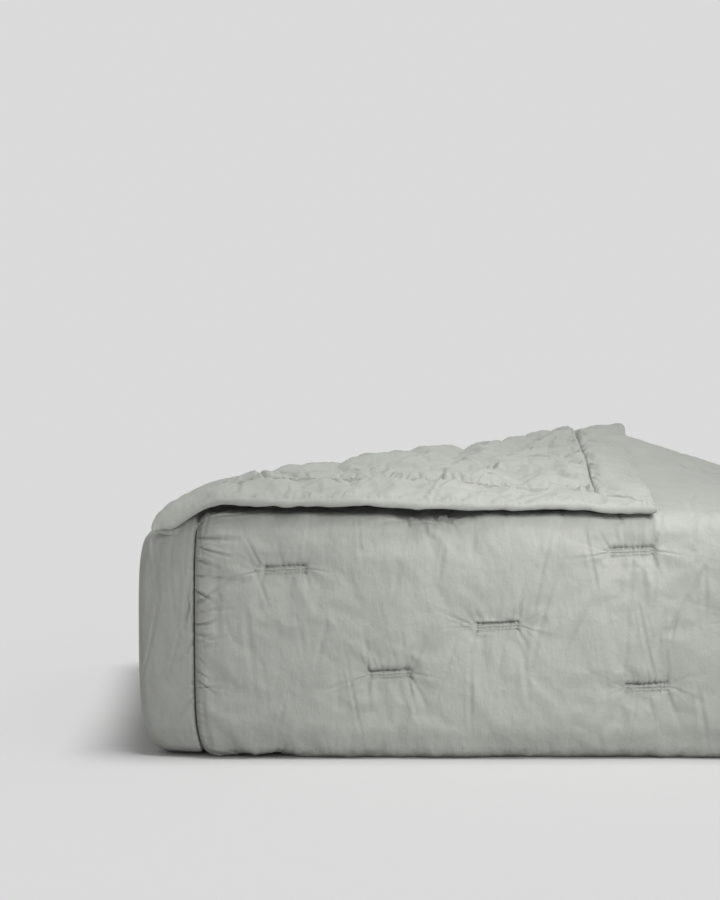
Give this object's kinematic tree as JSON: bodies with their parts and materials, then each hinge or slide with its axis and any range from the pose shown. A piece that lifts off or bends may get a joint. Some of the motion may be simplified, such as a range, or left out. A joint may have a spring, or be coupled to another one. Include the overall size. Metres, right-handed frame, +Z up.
{
  "type": "folded bed quilt",
  "caption": "Tack-stitched cotton quilt with a wide bound hem, folded into a block with one corner of its top leaf turned back.",
  "frame": {"origin": "on the resting surface, under the middle of the bounding box of the folded block", "axes": "+Z up, +X along the folded block to the right as seen from the front, +Y from the front face to the back"},
  "size_m": [0.745, 0.4765, 0.2491],
  "materials": {
    "face_fabric": "washed plain-weave cotton, matt, soft wrinkles",
    "back_fabric": "washed plain-weave cotton, matt, soft wrinkles",
    "hem_fabric": "washed plain-weave cotton, doubled and pressed flat",
    "batting": "lofty polyester or cotton wadding",
    "thread": "matt cotton sewing thread"
  },
  "bodies": {
    "root": {"back_tack_1": "thread", "back_tack_2": "thread", "back_tack_3": "thread", "foot_hem_inner": "hem_fabric", "foot_hem_middle": "hem_fabric", "foot_hem_outer": "hem_fabric", "front_tack_1": "thread", "front_tack_2": "thread", "front_tack_3": "thread", "front_tack_5": "thread", "front_tack_6": "thread", "front_tack_7": "thread", "front_tack_8": "thread", "stack_inner_back_fabric": "back_fabric", "stack_inner_batting": "batting", "stack_inner_face_fabric": "face_fabric", "stack_inner_side_hem": "hem_fabric", "stack_middle_back_fabric": "back_fabric", "stack_middle_batting": "batting", "stack_middle_face_fabric": "face_fabric", "stack_outer_back_fabric": "back_fabric", "stack_outer_batting": "batting", "stack_outer_face_fabric": "face_fabric", "stack_seam_thread": "thread", "stack_side_hem": "hem_fabric"},
    "top_leaf": {"front_tack_4": "thread", "front_tack_9": "thread", "head_hem_inner": "hem_fabric", "head_hem_middle": "hem_fabric", "head_hem_outer": "hem_fabric", "leaf_inner_back_fabric": "back_fabric", "leaf_inner_batting": "batting", "leaf_inner_face_fabric": "face_fabric", "leaf_inner_side_hem": "hem_fabric", "leaf_middle_back_fabric": "back_fabric", "leaf_middle_batting": "batting", "leaf_middle_face_fabric": "face_fabric", "leaf_outer_back_fabric": "back_fabric", "leaf_outer_batting": "batting", "leaf_outer_face_fabric": "face_fabric", "leaf_seam_thread": "thread", "leaf_side_hem": "hem_fabric", "leaf_tack_1": "thread", "leaf_tack_2": "thread", "leaf_tack_3": "thread"},
    "corner_flap": {"flap_back_fabric": "back_fabric", "flap_batting": "batting", "flap_face_fabric": "face_fabric", "flap_head_hem": "hem_fabric", "flap_head_seam_thread": "thread", "flap_side_hem": "hem_fabric", "flap_side_seam_thread": "thread", "flap_tack_1": "thread", "flap_tack_2": "thread", "flap_tack_3": "thread"}
  },
  "joints": [
    {"name": "top_leaf_fold", "type": "hinge", "parent": "root", "child": "top_leaf", "pos_m": [0, -0.229, 0.2192], "axis": [1, 0, 0], "range_deg": [0, 90]},
    {"name": "corner_flap_fold", "type": "hinge", "parent": "top_leaf", "child": "corner_flap", "pos_m": [-0.3635, -0.229, 0.2215], "axis": [-0.7069, -0.7069, -0.0234], "range_deg": [0, 178]}
  ]
}
